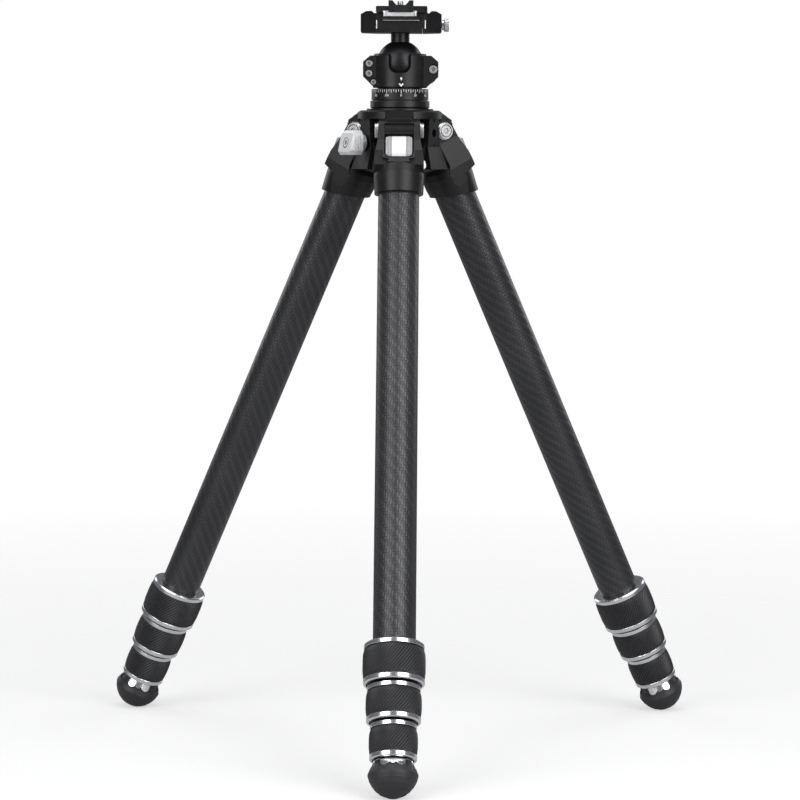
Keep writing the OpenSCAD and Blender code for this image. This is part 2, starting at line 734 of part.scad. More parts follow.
// Bevel under the plate's front end, between the feet of the dovetail.
module plate_end_slope() {
    top = plate_at + 1.6;
    rise = top - channel_at - 3.6;
    half = neck_w / 2;
    intersection() {
        rotate([90, 0, 90]) translate([0, 0, -50]) linear_extrude(100)
            polygon([[-plate_l / 2 - 1, top + 1], [-plate_l / 2 - 1, top - rise], [-plate_l / 2 + rise, top - rise],
                     [-plate_l / 2 - 1, top + 1]]);
        side_profile([[-half, top - rise - 1], [half, top - rise - 1], [half - 2, top + 1],
                      [2 - half, top + 1]], 200);
    }
}

module camera_plate() {
    head_r = 8.3;
    half = dovetail_w / 2;
    neck = neck_w / 2;
    low = channel_at + 0.15;
    color(BLACK) above_pivots() difference() {
        union() {
            side_profile([[-half, low], [half, low], [half, channel_at + dovetail_h - dovetail_rise],
                          [neck, channel_at + dovetail_h], [neck, plate_at + 1], [-neck, plate_at + 1],
                          [-neck, channel_at + dovetail_h], [-half, channel_at + dovetail_h - dovetail_rise]],
                         plate_l);
            translate([plate_x, 0, 0]) side_profile([
                [-plate_w / 2 + 1, plate_at], [plate_w / 2 - 1, plate_at], [plate_w / 2, plate_at + 1],
                [plate_w / 2, plate_top - 0.8], [plate_w / 2 - 0.8, plate_top],
                [-plate_w / 2 + 0.8, plate_top], [-plate_w / 2, plate_top - 0.8],
                [-plate_w / 2, plate_at + 1]], plate_l);
        }
        for (end = [0, 1]) mirror([0, end, 0]) plate_end_slope();
        translate([0, 0, channel_at - 1]) cylinder(r = head_r + part_gap, h = plate_at - channel_at - 0.5);
        translate([0, 0, channel_at]) cylinder(r = camera_screw_r + running, h = 60);
    }
}

module plate_stop() {
    width = 24.5;
    front = -plate_l / 2 - fitted;
    color(BLACK) above_pivots() difference() {
        box([-width / 2 + 1, front - 3.6, plate_at + 0.1], [width / 2 + 1, front, plate_top + 5.4]);
        side_profile([[-3.5, plate_top + 0.9], [5.5, plate_top + 0.9], [10, plate_top + 6], [-8, plate_top + 6]],
                     200);
        for (side = [-1, 1]) translate([1 + side * 8.6, front - 3.6, plate_at + 1]) rotate([90, 0, 0])
            cylinder(r = 1.3, h = 3, center = true, $fn = 32);
    }
}

module camera_screw() {
    head_top = plate_at - 2.1;
    color(SILVER) above_pivots() {
        translate([0, 0, channel_at + 1.6]) difference() {
            cylinder(r = 8.3, h = head_top - channel_at - 1.6);
            box([-9, -0.8, -1], [9, 0.8, 1.2]);
        }
        translate([0, 0, head_top - eps]) cylinder(r = camera_screw_r - 0.2, h = plate_top - head_top + 2 * eps);
        translate([0, 0, plate_top]) cylinder(r = camera_screw_r, h = camera_screw_h);
    }
}

// ---------- assembly ----------

apex();
apex_fasteners();
platform();
platform_lever();
head_base();
pan_scale();
head_housing();
housing_screws();
ball_cup();
ball();
ball_knob();
pan_knob();
clamp_body();
clamp_jaw();
clamp_knob();
camera_plate();
plate_stop();
camera_screw();
for (i = [0:2]) {
    at_leg(i) shoulder();
    at_leg(i) latch();
    at_leg(i) tube_1();
    at_leg(i) nut(0);
    at_leg(i) grip(0);
    at_leg(i) tube_2();
    at_leg(i) nut(1);
    at_leg(i) grip(1);
    at_leg(i) tube_3();
    at_leg(i) nut(2);
    at_leg(i) grip(2);
    at_leg(i) tube_4();
    at_leg(i) foot_ring();
    at_leg(i) foot();
}
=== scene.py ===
"""Looks of a four-section carbon tripod with a ball head and a quick-release plate."""

import json
import math

import bpy
from mathutils import Matrix, Vector


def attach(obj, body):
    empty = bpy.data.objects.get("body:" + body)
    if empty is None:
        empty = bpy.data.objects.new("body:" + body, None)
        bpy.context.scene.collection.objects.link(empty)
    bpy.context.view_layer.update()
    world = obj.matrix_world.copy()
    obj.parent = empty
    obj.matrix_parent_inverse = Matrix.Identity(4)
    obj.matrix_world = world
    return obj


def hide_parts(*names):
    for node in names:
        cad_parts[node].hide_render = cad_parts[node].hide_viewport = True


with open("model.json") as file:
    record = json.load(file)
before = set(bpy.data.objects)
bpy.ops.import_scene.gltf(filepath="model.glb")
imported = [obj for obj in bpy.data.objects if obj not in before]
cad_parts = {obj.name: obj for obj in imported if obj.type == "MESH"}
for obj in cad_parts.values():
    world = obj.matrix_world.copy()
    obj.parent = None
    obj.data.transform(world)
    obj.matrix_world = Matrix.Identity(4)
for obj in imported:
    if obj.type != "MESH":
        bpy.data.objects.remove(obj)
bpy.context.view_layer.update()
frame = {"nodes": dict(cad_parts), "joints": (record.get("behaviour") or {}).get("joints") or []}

MM = 0.001
TURN = 2 * math.pi
LEGS = ("front", "right", "left")
JOINTS = {joint["name"]: joint for joint in frame["joints"]}
NODES = frame["nodes"]


# ---------- places, read from the frame ----------

class Axis:
    """A straight axis: local z runs along it, x and y across it."""

    def __init__(self, origin, along, across):
        self.origin, self.z = Vector(origin), Vector(along).normalized()
        self.x = (Vector(across) - self.z * self.z.dot(Vector(across))).normalized()
        self.y = self.z.cross(self.x)

    def matrix(self):
        place = Matrix((self.x, self.y, self.z)).transposed().to_4x4()
        place.translation = self.origin
        return place

    def extent(self, node):
        """Lowest and highest distance along the axis, and smallest and largest radius."""
        inverse = self.matrix().inverted()
        points = [inverse @ vertex.co for vertex in NODES[node].data.vertices]
        heights = [p.z for p in points]
        radii = [math.hypot(p.x, p.y) for p in points]
        return min(heights), max(heights), min(radii), max(radii)


def leg_axis(leg):
    """A leg's tube axis: z down the leg, x along the pivot bolt, y outwards."""
    down = JOINTS[leg + "_section_2_slide"]["axis"]
    bolt = -Vector(JOINTS[leg + "_leg_pivot"]["axis"])
    return Axis(JOINTS[leg + "_lock_1_turn"]["pos_m"], down, bolt)


LEG_AXES = {leg: leg_axis(leg) for leg in LEGS}
UPRIGHT = Axis((0, 0, 0), (0, 0, 1), (1, 0, 0))
PIVOT_H = JOINTS["front_leg_pivot"]["pos_m"][2]


# ---------- node materials ----------

class Graph:
    """Builds one material's nodes."""

    def __init__(self, name="", material=None, **settings):
        """Starts a new material, or goes on with one that is passed in."""
        self.material = material or bpy.data.materials.new(name)
        self.material.use_nodes = True
        self.tree = self.material.node_tree
        self.shader = self.tree.nodes["Principled BSDF"]
        for key, value in settings.items():
            self.set(key.replace("_", " ").title().replace("Ior", "IOR"), value)

    def set(self, name, value):
        self.plug(self.shader.inputs[name], value)

    def plug(self, socket, value):
        if isinstance(value, bpy.types.NodeSocket):
            self.tree.links.new(value, socket)
        elif isinstance(value, (tuple, list)) and len(value) == 3 and len(socket.default_value) == 4:
            socket.default_value = (*value, 1)
        else:
            socket.default_value = value

    def add(self, kind, inputs=None, output=0, **settings):
        node = self.tree.nodes.new("ShaderNode" + kind)
        for name, value in settings.items():
            setattr(node, name, value)
        for name, value in (inputs or {}).items():
            self.plug(node.inputs[name], value)
        return node.outputs[output]

    def math(self, operation, a, b=0.0, c=0.0):
        return self.add("Math", {0: a, 1: b, 2: c}, operation=operation)

    def dot(self, vector, direction):
        return self.add("VectorMath", {0: vector, 1: tuple(direction)}, "Value", operation="DOT_PRODUCT")

    def place(self):
        return self.add("TexCoord", output="Object")

    def noise(self, scale, detail=3.0, roughness=0.5, vector=None):
        inputs = {"Vector": vector or self.place(), "Scale": scale, "Detail": detail,
                  "Roughness": roughness}
        return self.add("TexNoise", inputs, "Fac")

    def ramp(self, value, low, high, from_low=0.0, from_high=1.0):
        """Maps a value to a range between two numbers or two colours."""
        share = self.add("MapRange", {"Value": value, "From Min": from_low, "From Max": from_high})
        if isinstance(low, (int, float)):
            return self.add("MapRange", {"Value": share, "To Min": low, "To Max": high})
        return self.mix(share, low, high)

    def mix(self, share, low, high):
        node = self.tree.nodes.new("ShaderNodeMix")
        node.data_type = "RGBA"
        self.plug(node.inputs["Factor"], share)
        self.plug(node.inputs[6], low)
        self.plug(node.inputs[7], high)
        return node.outputs[2]

    def soften(self, radius):
        """The surface direction with sharp edges rounded by a radius."""
        return self.add("Bevel", {"Radius": radius}, samples=6)

    def edge_share(self, rounded):
        """How near a sharp edge a point is, from 0 to 1."""
        flat = self.add("NewGeometry", output="Normal")
        turned = self.add("VectorMath", {0: rounded, 1: flat}, "Value", operation="DOT_PRODUCT")
        return self.ramp(turned, 1.0, 0.0, 0.72, 0.99)

    def crevice(self, distance, floor=0.12):
        """Painted shade: how open a point lies, 1 on open surfaces, down to a floor inside narrow recesses
        where shade falls.
        """
        open_share = self.add("AmbientOcclusion", {"Distance": distance}, "AO", samples=6)
        return self.ramp(open_share, floor, 1.0, 0.35, 0.85)

    def scale(self, colour, factor):
        """A colour times a factor."""
        return self.mix(factor, (0.0, 0.0, 0.0), colour)

    def bump(self, height, distance, normal=None, strength=1.0):
        inputs = {"Height": height, "Distance": distance, "Strength": strength}
        if normal is not None:
            inputs["Normal"] = normal
        return self.add("Bump", inputs)


def black_metal(name="black_satin_metal", tone=0.007, rough=0.38):
    """Bead-blasted, black-anodised aluminium, a little paler where edges have worn."""
    g = Graph(name, metallic=0.2, ior=1.45)
    rounded = g.soften(0.5 * MM)
    cloud = g.noise(38, 4, 0.6)
    grain = g.noise(5200, 2, 0.6)
    wear = g.math("MULTIPLY", g.edge_share(rounded), g.ramp(g.noise(420, 4, 0.7), 0.0, 1.0, 0.42, 0.72))
    base = g.ramp(cloud, (tone * 0.8, tone * 0.8, tone * 0.86), (tone * 1.25, tone * 1.25, tone * 1.35),
                  0.3, 0.7)
    g.set("Base Color", g.mix(g.math("MULTIPLY", wear, 0.3), base, (0.07, 0.07, 0.074)))
    g.set("Roughness", g.ramp(cloud, rough - 0.05, rough + 0.07, 0.3, 0.7))
    g.set("Normal", g.bump(grain, 0.02 * MM, rounded, 0.7))
    return g.material


def cut_edges(material, ranges):
    """Adds bare bright metal inside boxes given as (low, high) corners, as diamond-cut edges."""
    g = Graph(material=material)
    x, y, z = (g.add("SeparateXYZ", {0: g.place()}, axis) for axis in "XYZ")
    share = None
    for low, high in ranges:
        inside = None
        for value, start, end in zip((x, y, z), low, high):
            band = g.math("MULTIPLY", g.math("GREATER_THAN", value, start), g.math("LESS_THAN", value, end))
            inside = band if inside is None else g.math("MULTIPLY", inside, band)
        share = inside if share is None else g.math("MAXIMUM", share, inside)
    black = g.shader.inputs["Base Color"].links[0].from_socket
    g.set("Base Color", g.mix(share, black, (0.93, 0.93, 0.94)))
    g.set("Metallic", g.ramp(share, 0.2, 0.3))
    return material


def gloss_black():
    """The ball's hard black coating."""
    g = Graph("gloss_black_coating", ior=1.38)
    g.set("Base Color", g.ramp(g.noise(60, 3), (0.003, 0.003, 0.004), (0.006, 0.006, 0.008), 0.3, 0.7))
    g.set("Roughness", g.ramp(g.noise(900, 4), 0.3, 0.4, 0.3, 0.7))
    g.set("Normal", g.bump(g.noise(2600, 2), 0.004 * MM))
    return g.material


def bright_metal(name, axis, rough=0.17, tone=0.82, pitch=0.16 * MM, groove=0.004 * MM, recess_shade_reach=0.5 * MM):
    """Turned metal: fine grooves round an axis, and painted shade darkening its recesses."""
    g = Graph(name, metallic=1.0)
    along = g.dot(g.place(), axis.z)
    lines = g.add("TexNoise", {"Vector": g.add("CombineXYZ", {"X": g.math("DIVIDE", along, pitch)}),
                               "Scale": 1.0, "Detail": 3.0}, "Fac")
    rounded = g.soften(0.3 * MM)
    cloud = g.noise(90, 3)
    base = g.ramp(cloud, (tone * 0.94, tone * 0.94, tone * 0.95), (tone * 1.03, tone * 1.03, tone * 1.04),
                  0.3, 0.7)
    # painted shade: the base colour darkens inside recesses such as hex sockets, where shade falls
    g.set("Base Color", g.scale(base, g.crevice(recess_shade_reach)))
    g.set("Roughness", g.ramp(lines, rough - 0.03, rough + 0.07, 0.3, 0.7))
    g.set("Normal", g.bump(lines, groove, rounded))
    return g.material


def satin_silver(name="satin_silver_metal", rough=0.38, metallic=0.35, tone=0.72, recess_shade_reach=2.2 * MM):
    """Bead-blasted, clear-anodised aluminium, with painted shade darkening its grooves."""
    g = Graph(name, metallic=metallic)
    rounded = g.soften(0.4 * MM)
    cloud = g.noise(120, 4, 0.6)
    base = g.ramp(cloud, (tone * 0.94, tone * 0.945, tone * 0.96), (tone * 1.05, tone * 1.05, tone * 1.06),
                  0.3, 0.7)
    # painted shade: the base colour darkens in grooves and recesses, where shade falls
    g.set("Base Color", g.scale(base, g.crevice(recess_shade_reach, 0.06)))
    g.set("Roughness", g.ramp(cloud, rough - 0.05, rough + 0.06, 0.3, 0.7))
    g.set("Normal", g.bump(g.noise(6000, 2, 0.6), 0.012 * MM, rounded))
    return g.material


def latch_metal(leg):
    """Satin metal with a smooth middle, and ribbed strips at both sides darkened with painted shade, in
    stripes across the ribs.
    """
    axis = LEG_AXES[leg]
    g = Graph("latch_metal_" + leg, metallic=0.3)
    offset = g.add("VectorMath", {0: g.place(), 1: tuple(axis.origin)}, operation="SUBTRACT")
    across = g.math("ABSOLUTE", g.dot(offset, axis.x))
    # the strips at both sides take painted shade, darker than the middle
    strip = g.ramp(across, 0.0, 1.0, 6.4 * MM, 7.1 * MM)
    rib = g.math("ABSOLUTE", g.math("SUBTRACT", g.math("FRACT", g.math("DIVIDE", across, 1.4 * MM)), 0.5))
    smooth = g.ramp(g.noise(120, 4, 0.6), (0.86, 0.865, 0.88), (0.93, 0.93, 0.935), 0.3, 0.7)
    # painted shade across the ribs: paler on the crests, dark in the grooves
    shaded_ribs = g.ramp(rib, (0.5, 0.5, 0.52), (0.13, 0.13, 0.14), 0.1, 0.45)
    rounded = g.soften(0.5 * MM)
    # sharp edges keep the middle's pale colour
    rim = g.math("MAXIMUM", g.math("SUBTRACT", 1.0, strip), g.edge_share(rounded))
    g.set("Base Color", g.mix(rim, shaded_ribs, smooth))
    g.set("Roughness", g.ramp(strip, 0.34, 0.46))
    g.set("Normal", g.bump(g.noise(6000, 2, 0.6), 0.012 * MM, rounded))
    return g.material


def ribbed_rubber():
    """Moulded grip rubber with a dusty bloom, and painted shade in the grooves between its ribs."""
    g = Graph("grip_rubber", ior=1.48)
    bloom = g.noise(160, 5, 0.65)
    grain = g.noise(3600, 3, 0.7)
    base = g.ramp(bloom, (0.012, 0.012, 0.014), (0.02, 0.02, 0.023), 0.32, 0.68)
    # painted shade: the base colour darkens in the grooves between ribs
    g.set("Base Color", g.scale(base, g.crevice(2.4 * MM, 0.05)))
    g.set("Roughness", g.ramp(bloom, 0.38, 0.5, 0.3, 0.7))
    g.set("Normal", g.bump(grain, 0.03 * MM))
    return g.material


def foot_rubber():
    """Hard foot rubber, slightly pitted and scuffed towards the ground."""
    g = Graph("foot_rubber", ior=1.5)
    rounded = g.soften(0.8 * MM)
    pits = g.add("TexVoronoi", {"Vector": g.place(), "Scale": 1500.0}, "Distance")
    bloom = g.noise(140, 5, 0.65)
    height = g.add("SeparateXYZ", {0: g.place()}, "Z")
    low = g.ramp(height, 1.0, 0.0, 0.0, 9 * MM)
    scuff = g.math("MULTIPLY", low, g.ramp(g.noise(700, 5, 0.7), 0.0, 1.0, 0.45, 0.65))
    base = g.ramp(bloom, (0.013, 0.013, 0.015), (0.022, 0.022, 0.025), 0.32, 0.68)
    g.set("Base Color", g.mix(g.math("MULTIPLY", scuff, 0.4), base, (0.05, 0.048, 0.045)))
    g.set("Roughness", g.ramp(bloom, 0.42, 0.6, 0.3, 0.7))
    g.set("Normal", g.bump(pits, 0.05 * MM, rounded, 0.6))
    return g.material


TOWS = 48  # tows round a tube, a multiple of the weave's repeat of 4
TOW_PITCH = 3.1 * MM  # along the tube


def carbon_twill(leg):
    """Clear-coated 2x2 twill, wrapped round one leg's tube axis, with painted sheen on the lengthways tows
    and painted shade between tows.
    """
    axis = LEG_AXES[leg]
    g = Graph("carbon_twill_" + leg, ior=1.45, metallic=0.3, coat_weight=0.25, coat_roughness=0.3)
    offset = g.add("VectorMath", {0: g.place(), 1: tuple(axis.origin)}, operation="SUBTRACT")
    angle = g.math("ARCTAN2", g.dot(offset, axis.y), g.dot(offset, axis.x))
    u = g.math("MULTIPLY", angle, TOWS / TURN)
    v = g.math("DIVIDE", g.dot(offset, axis.z), TOW_PITCH)
    column, row = g.math("FLOOR", u), g.math("FLOOR", v)
    # a tow shows for two steps of every four, one step later in each next column
    lengthways = g.math("FLOORED_MODULO", g.math("ADD", v, column), 4.0)
    crossways = g.math("FLOORED_MODULO", g.math("ADD", u, row), 4.0)
    over = g.math("LESS_THAN", lengthways, 2.0)

    def crown(step, run):
        """Height of a tow across its width and along its float."""
        across = g.math("ABSOLUTE", g.math("SUBTRACT", g.math("FRACT", step), 0.5))
        width = g.math("SUBTRACT", 1.0, g.math("POWER", g.math("MULTIPLY", across, 2.0), 3.0))
        wave = g.math("ABSOLUTE", g.math("SINE", g.math("MULTIPLY", run, TURN / 4)))
        return g.math("MULTIPLY", width, g.math("POWER", wave, 0.55))

    warp, weft = crown(u, lengthways), crown(v, crossways)
    fibre_warp = g.noise(1.0, 2, 0.5, g.add("CombineXYZ", {"X": g.math("MULTIPLY", u, 14.0),
                                                             "Y": g.math("MULTIPLY", v, 0.8)}))
    fibre_weft = g.noise(1.0, 2, 0.5, g.add("CombineXYZ", {"X": g.math("MULTIPLY", u, 0.8),
                                                             "Y": g.math("MULTIPLY", v, 14.0)}))

    def pick(for_weft, for_warp):
        gap = g.math("SUBTRACT", for_warp, for_weft)
        return g.math("MULTIPLY_ADD", gap, over, for_weft)

    height, fibre = pick(weft, warp), pick(fibre_weft, fibre_warp)
    drift = g.noise(22, 2)
    # painted sheen: lengthways tows are paler than crossways ones, standing in for their different
    # reflection; the fibre and drift noise are the weave's own tone
    tone = g.math("MULTIPLY", pick(0.62, 1.0), g.ramp(fibre, 0.75, 1.25, 0.3, 0.7))
    tone = g.math("MULTIPLY", tone, g.ramp(drift, 0.85, 1.15, 0.35, 0.65))
    # painted shade: darker where a tow dips low, in the hollows between and under crossing tows
    tone_with_gap_shade = g.math("MULTIPLY", tone, g.ramp(height, 0.35, 1.0, 0.0, 0.6))
    g.set("Base Color", g.mix(g.math("MULTIPLY", tone_with_gap_shade, 0.7), (0.005, 0.005, 0.006), (0.056, 0.056, 0.061)))
    g.set("Roughness", g.math("MULTIPLY_ADD", over, -0.12, 0.42))
    relief = g.math("ADD", height, g.math("MULTIPLY", fibre, 0.12))
    g.set("Normal", g.bump(relief, 0.16 * MM))
    g.set("Coat Normal", g.bump(relief, 0.02 * MM))
    return g.material


def ink():
    """White marking ink, slightly uneven."""
    g = Graph("white_ink", ior=1.45)
    patch = g.noise(900, 4, 0.7)
    g.set("Base Color", g.ramp(patch, (0.7, 0.7, 0.7), (0.86, 0.86, 0.86), 0.3, 0.6))
    g.set("Roughness", g.ramp(patch, 0.4, 0.6, 0.3, 0.7))
    return g.material


# ---------- meshes ----------

def add_piece(name, points, faces, material, place=None, smooth=True):
    mesh = bpy.data.meshes.new(name)
    mesh.from_pydata(points, [], faces)
    mesh.validate()
    if place is not None:
        mesh.transform(place)
    mesh.materials.append(material)
    for polygon in mesh.polygons:
        polygon.use_smooth = smooth
    piece = bpy.data.objects.new(name, mesh)
    bpy.context.scene.collection.objects.link(piece)
    return piece


def sharpen(piece, degrees=38):
    """Keeps edges over an angle crisp on a smooth-shaded piece."""
    piece.data.set_sharp_from_angle(angle=math.radians(degrees))


def dense(section, step):
    """A closed outline of (distance, radius) points with long sides cut to a step."""
    result = []
    for start, end in zip(section, section[1:] + section[:1]):
        parts = max(1, math.ceil(math.dist(start, end) / step))
        result += [tuple(a + (b - a) * k / parts for a, b in zip(start, end)) for k in range(parts)]
    return result


def ring_faces(count, n):
    """Faces between a number of closed sections of n points each, placed round a circle."""
    return [(k * n + i, k * n + (i + 1) % n, (k + 1) % count * n + (i + 1) % n, (k + 1) % count * n + i)
            for k in range(count) for i in range(n)]


def turned_ring(name, section, count, axis, material, shape=None):
    """A closed section of (distance, radius) points turned round an axis.
    shape(distance, radius, angle) may return a moved radius and angle."""
    shape = shape or (lambda distance, radius, angle: (radius, angle))
    points = []
    for k in range(count):
        angle = TURN * k / count
        for distance, radius in section:
            r, turn = shape(distance, radius, angle)
            points.append((r * math.cos(turn), r * math.sin(turn), distance))
    faces = ring_faces(count, len(section))
    piece = add_piece(name, points, faces, material, axis.matrix())
    sharpen(piece)
    return piece


def make_outward(piece):
    """Points the faces out of the solid."""
    mesh = piece.data
    mesh.calc_loop_triangles()
    volume = sum(Vector(mesh.vertices[a].co).dot(mesh.vertices[b].co.cross(mesh.vertices[c].co))
                 for a, b, c in (t.vertices for t in mesh.loop_triangles))
    if volume < 0:
        mesh.flip_normals()
    return piece


def wrapped(parts, azimuth, radius, height, thickness):
    """Flat polygons ((x, y) corners, x to the right seen from outside) laid on an upright cylinder."""
    points, faces = [], []
    for corners in parts:
        first, n = len(points), len(corners)
        for lift in (0, thickness):
            for x, y in corners:
                angle = azimuth + x / radius
                r = radius + lift
                points.append((r * math.cos(angle), r * math.sin(angle), height + y))
        faces.append(tuple(range(first + n - 1, first - 1, -1)))
        faces.append(tuple(range(first + n, first + 2 * n)))
        faces += [(first + i, first + (i + 1) % n, first + n + (i + 1) % n, first + n + i) for i in range(n)]
    return points, faces


def text_triangles(text, size):
    """Triangles of a word set in the plain built-in face, centred."""
    curve = bpy.data.curves.new("number", "FONT")
    curve.body, curve.size, curve.align_x, curve.align_y = text, size, "CENTER", "CENTER"
    curve.resolution_u = 3
    holder = bpy.data.objects.new("number", curve)
    bpy.context.scene.collection.objects.link(holder)
    mesh = holder.evaluated_get(bpy.context.evaluated_depsgraph_get()).to_mesh()
    mesh.calc_loop_triangles()
    triangles = [[tuple(mesh.vertices[i].co.xy) for i in t.vertices] for t in mesh.loop_triangles]
    bpy.data.objects.remove(holder)
    return triangles


def rectangle(width, low, high):
    half = width / 2
    return [(-half, low), (half, low), (half, high), (-half, high)]


# ---------- pieces ----------

MARK_OFFSET = 1.5 * MM  # the scale and the arrow sit a little off the front

RIB_PITCH = 3.3 * MM
RIB_DEPTH = 0.8 * MM
RIB_SLOPE = math.radians(50)
RIB_COLUMNS = 6  # mesh columns for each rib
RIB_ZONE = 2.6 * MM  # how far in from the widest radius the ribs reach
RING_COLUMNS = 128


def grip(leg, number, material):
    """A rubber grip with slanting ribs, in the space of its plain solid."""
    node = f"{leg}_grip_{number}"
    axis = LEG_AXES[leg]
    low, high, inner, outer = axis.extent(node)
    ribs = round(TURN * outer / RIB_PITCH)
    twist = 1 / (math.tan(RIB_SLOPE) * outer)
    ends = 1.1 * MM
    barrel = [(low, 2.5), (low + 0.8 * MM, 1.75), (low + 2 * MM, 1.05), (low + 5 * MM, 0.33),
              (low + 10 * MM, 0.03), (high - 8 * MM, 0.03), (high - 2.6 * MM, 0.55), (high - 0.7 * MM, 1.2),
              (high, 1.6)]
    section = dense([(low, inner)] + [(d, outer - inset * MM) for d, inset in barrel] + [(high, inner)],
                    1.4 * MM)

    def shape(distance, radius, angle):
        turn = angle + (distance - low) * twist
        if radius < outer - RIB_ZONE:
            return radius, turn
        fade = min(1, (distance - low) / ends, (high - distance) / ends)
        wave = 0.5 - 0.5 * math.cos(ribs * angle)
        return radius - RIB_DEPTH * max(0, fade) * wave ** 1.4, turn

    piece = turned_ring(f"{leg}_ribbed_grip_{number}", section, ribs * RIB_COLUMNS, axis, material, shape)
    make_outward(piece)
    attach(piece, f"{leg}_lock_{number}")
    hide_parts(node)


def nut(leg, number, chrome, black):
    """A lock's turned metal rings, with a thin rim round the dark recess at the lower end."""
    node = f"{leg}_nut_{number}"
    axis = LEG_AXES[leg]
    low, high, neck, outer = axis.extent(node)
    wide = axis.extent(f"{leg}_tube_{number}")[3] + 0.3 * MM
    grip_low, grip_high, grip_inner, _ = axis.extent(f"{leg}_grip_{number}")
    core = grip_inner - 0.04 * MM
    upper_end, lower_start = grip_low - 0.04 * MM, grip_high + 0.04 * MM
    step = high - 7.7 * MM
    section = [(low, wide), (low, outer - 2 * MM), (low + 1.2 * MM, outer - 0.5 * MM),
               (upper_end - 0.2 * MM, outer - 0.4 * MM), (upper_end, outer - 0.6 * MM), (upper_end, core),
               (lower_start, core), (lower_start, outer - 0.3 * MM), (lower_start + 0.3 * MM, outer),
               (high - 1.0 * MM, outer - 0.1 * MM), (high - 0.3 * MM, outer - 0.7 * MM),
               (high, outer - 1.3 * MM), (high, outer - 2.5 * MM), (high - 2.6 * MM, outer - 2.9 * MM),
               (high - 2.6 * MM, neck),
               (step, neck), (step, wide)]
    seal = [(high - 2.5 * MM, neck + 0.05 * MM), (high - 2.5 * MM, outer - 2.95 * MM),
            (high - 1.2 * MM, outer - 3.1 * MM), (high - 0.9 * MM, neck + 0.3 * MM)]
    pieces = (turned_ring(f"{leg}_lock_metal_{number}", section, RING_COLUMNS, axis, chrome),
              turned_ring(f"{leg}_lock_seal_{number}", seal, RING_COLUMNS, axis, black))
    for piece, slot in zip(pieces, ("silver_anodised", "rubber")):
        make_outward(piece)
        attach(piece, f"{leg}_lock_{number}")
    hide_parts(node)


CROWN_TOP = math.radians(41)  # half the angle that each group of tabs spans
CROWN_TIP = math.radians(33)
LOBE_AT, LOBE_HALF = math.radians(23), math.radians(15)
NUB_HALF = math.radians(9.5)


def crown_reach(angle):
    """How far the foot's metal crown comes down at an angle from the middle of a tab group, 0 to 1."""
    side = abs(angle)
    if side > CROWN_TOP:
        return 0.0
    edge = min(1.0, (CROWN_TOP - side) / (CROWN_TOP - CROWN_TIP))
    lobe = 0.62 + 0.38 * math.cos(min(1.0, abs(side - LOBE_AT) / LOBE_HALF) * math.pi / 2)
    nub = 0.84 * math.cos(side / NUB_HALF * math.pi / 2) ** 0.35 if side < NUB_HALF else 0
    return edge * max(lobe, nub)


def crown(leg, material):
    """The scalloped metal crown over the top of a rubber foot."""
    node = leg + "_foot_ring"
    axis = LEG_AXES[leg]
    low, high, inner, outer = axis.extent(node)
    start, ledge = (low, inner + 3.0 * MM), 0.45 * MM
    tip = (high - 0.6 * MM, outer)
    thick = 1.1 * MM
    count, share = 360, 6
    points = []
    for k in range(count):
        angle = TURN * k / count
        nearest = round((angle - math.pi / 2) / (TURN / 3)) * TURN / 3 + math.pi / 2
        reach = max(0.03, crown_reach(angle - nearest))
        out = [(start[0] + (tip[0] - start[0]) * reach * s / share,
                start[1] + 0.8 * MM * min(1, reach * 8) + (tip[1] - start[1] - 0.8 * MM) * reach * s / share)
               for s in range(share + 1)]
        back = [(d + thick * 0.45, r - thick * min(1, reach * 3)) for d, r in reversed(out[1:])]
        section = [(low, inner), start] + out + back + [(low + ledge, start[1]), (low + ledge, inner)]
        points += [(r * math.cos(angle), r * math.sin(angle), d) for d, r in section]
    faces = ring_faces(count, len(section))
    piece = add_piece(leg + "_foot_crown", points, faces, material, axis.matrix())
    sharpen(make_outward(piece), 30)
    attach(piece, leg + "_section_4")
    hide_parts(node)


def scale_marks(material):
    """Degree marks and numbers round the graduated ring."""
    _, top, _, radius = UPRIGHT.extent("pan_scale")
    skin = radius - 0.01 * MM
    points, faces = [], []

    def stamp(parts, azimuth, height):
        more_points, more_faces = wrapped(parts, azimuth, skin, height, 0.05 * MM)
        first = len(points)
        points.extend(more_points)
        faces.extend(tuple(first + i for i in face) for face in more_faces)

    for degrees in range(0, 360, 5):
        length = 4.0 if degrees % 30 == 0 else 3.2 if degrees % 10 == 0 else 2.1
        azimuth = math.radians(degrees - 90) + MARK_OFFSET / radius
        stamp([rectangle(0.42 * MM, -length * MM, 0)], azimuth, top - 0.7 * MM)
        if degrees % 30 == 0:
            stamp(text_triangles(str(degrees), 3.1 * MM), azimuth, top - 6.6 * MM)
    piece = add_piece("scale_marks", points, faces, material, smooth=False)
    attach(piece, "platform")


def index_marks(material):
    """The white arrow and dot on the housing, over the graduated ring."""
    low = UPRIGHT.extent("head_housing")[0]
    radius = housing_radius()
    azimuth = math.radians(-90) + MARK_OFFSET / radius
    base = low + 12.1 * MM
    arrow = [[(0, 0), (2.4, 2.7), (1.5, 3.5), (0, 2.3)], [(0, 0), (0, 2.3), (-1.5, 3.5), (-2.4, 2.7)]]
    dot = [[(0.95 * math.cos(a), 8.3 + 1.05 * math.sin(a)) for a in (TURN * k / 16 for k in range(16))],
           [(-0.1, 6.0), (0.75, 7.1), (0.2, 7.7), (-0.4, 7.4)]]
    parts = [[(x * MM, y * MM) for x, y in part] for part in arrow + dot]
    points, faces = wrapped(parts, azimuth, radius - 0.01 * MM, base, 0.06 * MM)
    piece = add_piece("index_marks", points, faces, material, smooth=False)
    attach(piece, "housing")


def housing_radius():
    """The housing's radius at its front, where nothing stands out."""
    front = [-v.co.y for v in NODES["head_housing"].data.vertices if abs(v.co.x) < 3 * MM]
    return max(front)


